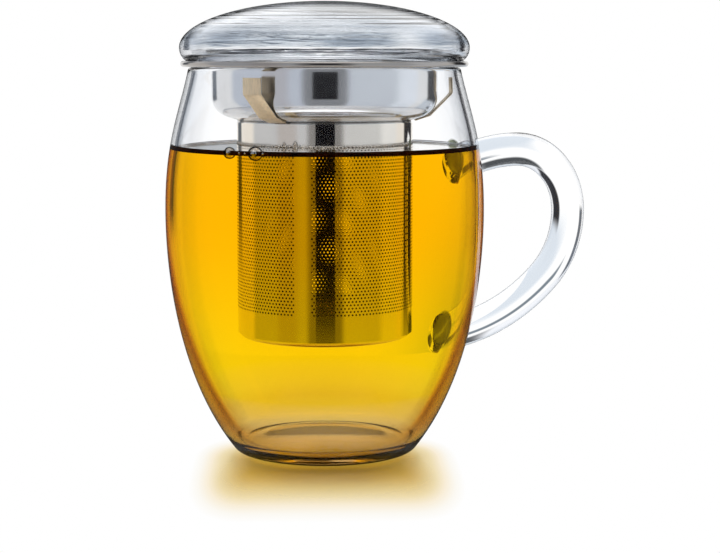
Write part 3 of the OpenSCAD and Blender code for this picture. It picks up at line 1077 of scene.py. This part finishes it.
class TEAMUG_OT_tea(bpy.types.Operator):
    """Pour the tea, with its rim against the glass and a few bubbles"""
    bl_idname = "teamug.tea"
    bl_label = "Tea"

    def execute(self, context):
        mug, p = context.scene.tea_mug, context.scene.tea_tea
        inner = mug_outlines(mug)[1]
        # The tinted body reaches into the glass, because in a full mug the tea's colour fills
        # the wall up to its outline
        bite = mug.wall - 0.4 * MM
        side = [point + bite * left_of(way) for point, way in zip(inner, ways_along(inner))]
        wet = [q for q in side if q[1] < p.level]
        shore = radius_at(side, p.level)
        edge = radius_at(inner, p.level)
        top = [Vector((edge * i / 12, p.level)) for i in range(13)]
        floor = [Vector((wet[-1][0] * i / 6, wet[-1][1])) for i in range(5, -1, -1)]
        outline = top + [Vector((shore, p.level))] + wet + floor
        tea = new_object("tea", *revolve(outline, 200))
        body, open_surface = brewed_tea("brewed tea", p), tea_surface("open tea surface")
        hand_over(tea, [body, open_surface], "mug", "mug_glass", second=lambda face:
                  face.center.z > p.level - 1e-6 and from_axis(face) < edge)

        # The rim climbs the glass in a curve. Points in mm from where the level meets the glass
        climb = [(-1.6 * (1 - t) ** 2, 0.02 + 0.6 * t * t) for t in (0, 0.2, 0.4, 0.6, 0.8, 1)]
        climb += [(0.4, 0.62), (0.4, -0.65), (-0.1, -0.65), (-0.7, -0.3), (-1.6, -0.05)]
        rim = [(edge + x * MM, p.level + z * MM) for x, z in climb]
        ring = new_object("tea_rim", *revolve(rim, 200), sharp_angle=50)
        hand_over(ring, [painted_dark_meniscus("rim of the tea in painted shade"), open_surface], "mug", "mug_glass",
                  second=lambda face: from_axis(face) < edge + 0.3 * MM)

        film = tea_bubble("bubble film with painted dark rim")
        turn = context.scene.tea_stage.view_turn
        # Way round from the front, radius of the bubble and gap to the glass, in mm
        bubbles = ((-37.6, 1.6, -1.0), (-26.7, 1.95, -1.0), (-32.6, 0.8, -0.5),
                   (-30.2, 0.7, -0.5), (-23.0, 0.8, -0.5), (-35.0, 0.5, -0.4))
        for k, (way, size, gap) in enumerate(bubbles):
            angle = turn - math.pi / 2 + math.radians(way)
            r = edge - (size + gap) * MM
            ball = bmesh.new()
            bmesh.ops.create_icosphere(ball, subdivisions=4, radius=size * MM)
            move = Matrix.Translation((r * math.cos(angle), r * math.sin(angle),
                                       p.level - 0.1 * MM))
            bmesh.ops.transform(ball, matrix=move, verts=ball.verts)
            bubble = object_from("tea_bubble_%d" % (k + 1), ball, 60)
            hand_over(bubble, [film], "mug", "mug_glass")
        return {"FINISHED"}


# ---------------------------------------------------------------- the stage

def mirrored_by_glass(tree, path):
    """1 for light that the outside of smooth glass mirrors, which a polarising filter dims."""
    return add(tree, "ShaderNodeMath", {"operation": "SUBTRACT", "use_clamp": True},
               i0=path["Is Singular Ray"], i1=path["Is Transmission Ray"])


def level_way(angle):
    """Level unit vector at an angle."""
    return (math.cos(angle), math.sin(angle), 0)


def table_material(name, view_turn):
    """White acrylic table top, polished, that mirrors what stands on it for a short way.

    Round the mug, mostly on the side of the camera, it carries a painted shadow and a painted
    amber glow, for light that has come through the tea."""
    material, tree = new_material(name)
    place = object_place(tree)
    path = add(tree, "ShaderNodeLightPath").outputs
    toward = level_way(view_turn - math.pi / 2)
    away = measure(tree, "DISTANCE", place, tuple(30 * MM * c for c in toward))
    table = add(tree, "ShaderNodeBsdfDiffuse", Color=srgb("FFFBF2"))
    gloss = add(tree, "ShaderNodeBsdfGlossy", Color=srgb("F2F2F2"), Roughness=0.25)
    near = mixed(tree, slope(tree, away, 14 * MM, 62 * MM, 1.0, 0.0), table, gloss)
    level = number(tree, "MULTIPLY_ADD", mirrored_by_glass(tree, path), -0.94, 1.0)
    across = number(tree, "ABSOLUTE", measure(tree, "DOT_PRODUCT", place, level_way(view_turn)))
    ahead = measure(tree, "DOT_PRODUCT", place, toward)
    # How far a place is outside the painted shadow, before it, beside it or behind it, each with
    # its start and end in mm. The power rounds the corners between them.
    outside, power = 0.0, 2.5
    for value, inner, outer in ((ahead, 29, 83), (across, 20, 37), (ahead, 16, -14)):
        step = slope(tree, value, inner * MM, outer * MM, smooth=False)
        outside = number(tree, "ADD", outside, number(tree, "POWER", step, power))
    outside = number(tree, "POWER", outside, 1 / power)
    # Painted shadow and glow: the light turns from amber tan next to the mug to white further out
    tone = ramp(tree, outside,
                [(0.0, "D8B060"), (0.18, "E2C283"), (0.37, "EFDBA2"),
                 (0.54, "F5E5B8"), (0.7, "F9EED8"), (0.85, "FCF9F2"),
                 (1.0, WHITE)])
    light = add(tree, "ShaderNodeEmission", Strength=level, Color=tone)
    seen = number(tree, "MAXIMUM", path["Is Camera Ray"], path["Is Glossy Ray"])
    seen = number(tree, "MAXIMUM", seen, path["Is Transmission Ray"])
    # The painted amber glow is strongest under the mug and at its sides
    beside = slope(tree, across, 6 * MM, 24 * MM, 0.2, 0.46)
    under = slope(tree, ahead, 20 * MM, 32 * MM, 0.44, 0.2)
    glow = add(tree, "ShaderNodeEmission", Color=srgb("D8AE3C"), Strength=level)
    near = mixed(tree, number(tree, "MULTIPLY", seen, number(tree, "MAXIMUM", beside, under)),
                 near, glow)
    far = number(tree, "MULTIPLY", seen, slope(tree, outside, 0, 0.7, smooth=False))
    add(tree, "ShaderNodeOutputMaterial", Surface=mixed(tree, far, near, light))
    return material


# Panels of the studio, each laid over those before it: middle and half width round the room,
# lowest and highest edge, softness, all in degrees, and colour. 0 is behind the camera, 90 to
# the right, 180 behind the mug.
PANELS = (
    (0, 180, 62, 95, 6, (2.2, 2.2, 2.22)),
    (-60, 62, -60, 50, 10, (0.68, 0.73, 0.82)),
    (-50, 12, -60, 50, 6, (0.6, 0.6, 0.64)),
    (50, 34, -60, 50, 10, (0.74, 0.79, 0.86)),
    (0, 22, -60, 50, 5, (0.3, 0.31, 0.33)),
    (112, 34, -60, 50, 8, (1.0, 1.06, 1.14)),
    (180, 75, -60, 18, 5, (1.05, 1.05, 1.05)),
    (180, 60, 18, 42, 6, (0.98, 1.0, 1.04)),
    (180, 60, 42, 62, 4, (0.85, 0.9, 0.95)),
    (146, 28, -40, -7, 4, (0.72, 0.78, 0.85)),
    (-177, 7, 2.5, 8.5, 1.5, (0.2, 0.24, 0.28)),
    (168, 14, 16, 42, 3, (0.07, 0.075, 0.08)),
    (138, 14, -9, 24, 2.5, (0.03, 0.03, 0.035)),
    (-146, 8, -6, 24, 2, (0.15, 0.17, 0.2)),
    (0, 12.4, -9.2, 30, 0.6, (0.004, 0.004, 0.006)),
)


def studio_world(view_turn):
    """Soft white studio: a white backdrop, pale sides and ceiling, and a few dark flags.

    What the glass mirrors is a plain white sky instead, dim low down and bright high up."""
    world = bpy.data.worlds.new("studio")
    world.use_nodes = True
    tree = world.node_tree
    tree.nodes.clear()
    way = add(tree, "ShaderNodeTexCoord").outputs["Generated"]
    parts = add(tree, "ShaderNodeSeparateXYZ", Vector=way).outputs
    level = add(tree, "ShaderNodeCombineXYZ", X=parts["X"], Y=parts["Y"])
    flat = add(tree, "ShaderNodeVectorMath", {"operation": "NORMALIZE"}, i0=level)
    height = parts["Z"]

    def sine(degrees):
        return math.sin(math.radians(degrees))

    current = srgb("E4E6E9")
    for middle, half, low, high, soft, shade in PANELS:
        limits = []
        if half < 180:
            facing = measure(tree, "DOT_PRODUCT", flat,
                             level_way(view_turn - math.pi / 2 + math.radians(middle)))
            limits.append((facing, math.cos(math.radians(half + soft)),
                           math.cos(math.radians(half - soft))))
        for edge, blur in ((low, soft), (high, -soft)):
            if abs(edge) < 90:
                limits.append((height, sine(edge - blur), sine(edge + blur)))
        mask = slope(tree, *limits[0])
        for limit in limits[1:]:
            mask = number(tree, "MULTIPLY", mask, slope(tree, *limit))
        current = blended(tree, mask, current, (*shade, 1))
    path = add(tree, "ShaderNodeLightPath").outputs
    studio = add(tree, "ShaderNodeBackground", Color=current, Strength=1.0)
    sky = add(tree, "ShaderNodeBackground", Color=WHITE,
              Strength=slope(tree, height, sine(14), sine(30), 0.05, 1.9))
    studio = mixed(tree, mirrored_by_glass(tree, path), studio, sky)
    backdrop = add(tree, "ShaderNodeBackground", Color=WHITE, Strength=1.0)
    add(tree, "ShaderNodeOutputWorld", Surface=mixed(tree, path["Is Camera Ray"], studio,
                                                     backdrop))
    return world


class TEAMUG_OT_stage(bpy.types.Operator):
    """Set the table, the light and the camera"""
    bl_idname = "teamug.stage"
    bl_label = "Stage"

    def execute(self, context):
        scene, p = context.scene, context.scene.tea_stage
        # Round table top, a hair under the foot
        top = arc((0, 0), 150 * MM, 0, 355, 71)
        table = new_object("table", [(x, y, 0) for x, y in top], [range(len(top))])
        table.data.materials.append(table_material("polished white acrylic with painted shadow and glow", p.view_turn))
        table.location.z = -0.02 * MM
        scene.world = studio_world(p.view_turn)
        scene.view_settings.view_transform = "Standard"

        # Focal length and width of the photograph's frame, in pixels
        focal, frame_width = 1770, 720
        data = bpy.data.cameras.new("camera")
        data.sensor_width = 36.0
        data.lens = data.sensor_width * focal / frame_width
        data.shift_y = -0.05
        data.clip_start, data.clip_end = 0.01, 20
        camera = bpy.data.objects.new("camera", data)
        scene.collection.objects.link(camera)
        ahead = p.view_turn + math.pi / 2
        aside = Vector(level_way(p.view_turn)) * p.camera_aside
        camera.location = aside + Vector((-p.camera_distance * math.cos(ahead),
                                          -p.camera_distance * math.sin(ahead),
                                          p.camera_height))
        camera.rotation_euler = (math.pi / 2 - p.camera_tilt, 0, p.view_turn - p.camera_pan)
        scene.camera = camera
        return {"FINISHED"}


class TEAMUG_PT_panel(bpy.types.Panel):
    """Sizes and colours of the mug, and a button for each piece"""
    bl_idname = "TEAMUG_PT_panel"
    bl_label = "Tea Mug"
    bl_space_type = "VIEW_3D"
    bl_region_type = "UI"
    bl_category = "Tea Mug"

    def draw(self, context):
        for group, cls in GROUPS.items():
            box = self.layout.box()
            for name in cls.__annotations__:
                box.prop(getattr(context.scene, group), name)
        for operator in OPERATORS:
            self.layout.operator(operator.bl_idname)


GROUPS = {
    "tea_mug": MugProperties,
    "tea_strainer": StrainerProperties,
    "tea_lid": LidProperties,
    "tea_tea": TeaProperties,
    "tea_stage": StageProperties,
}
OPERATORS = (
    TEAMUG_OT_stage,
    TEAMUG_OT_mug_glass,
    TEAMUG_OT_collar,
    TEAMUG_OT_basket_wall,
    TEAMUG_OT_basket_floor,
    TEAMUG_OT_spring_tabs,
    TEAMUG_OT_lid,
    TEAMUG_OT_tea,
)
CLASSES = (*GROUPS.values(), *OPERATORS, TEAMUG_PT_panel)


def register():
    for cls in CLASSES:
        bpy.utils.register_class(cls)
    for name, cls in GROUPS.items():
        setattr(bpy.types.Scene, name, PointerProperty(type=cls))


def unregister():
    for name in GROUPS:
        delattr(bpy.types.Scene, name)
    for cls in reversed(CLASSES):
        bpy.utils.unregister_class(cls)


def main():
    register()
    bpy.ops.teamug.stage()
    bpy.ops.teamug.mug_glass()
    bpy.ops.teamug.collar()
    bpy.ops.teamug.basket_wall()
    bpy.ops.teamug.basket_floor()
    bpy.ops.teamug.spring_tabs()
    bpy.ops.teamug.lid()
    bpy.ops.teamug.tea()


if __name__ == "__main__":
    main()
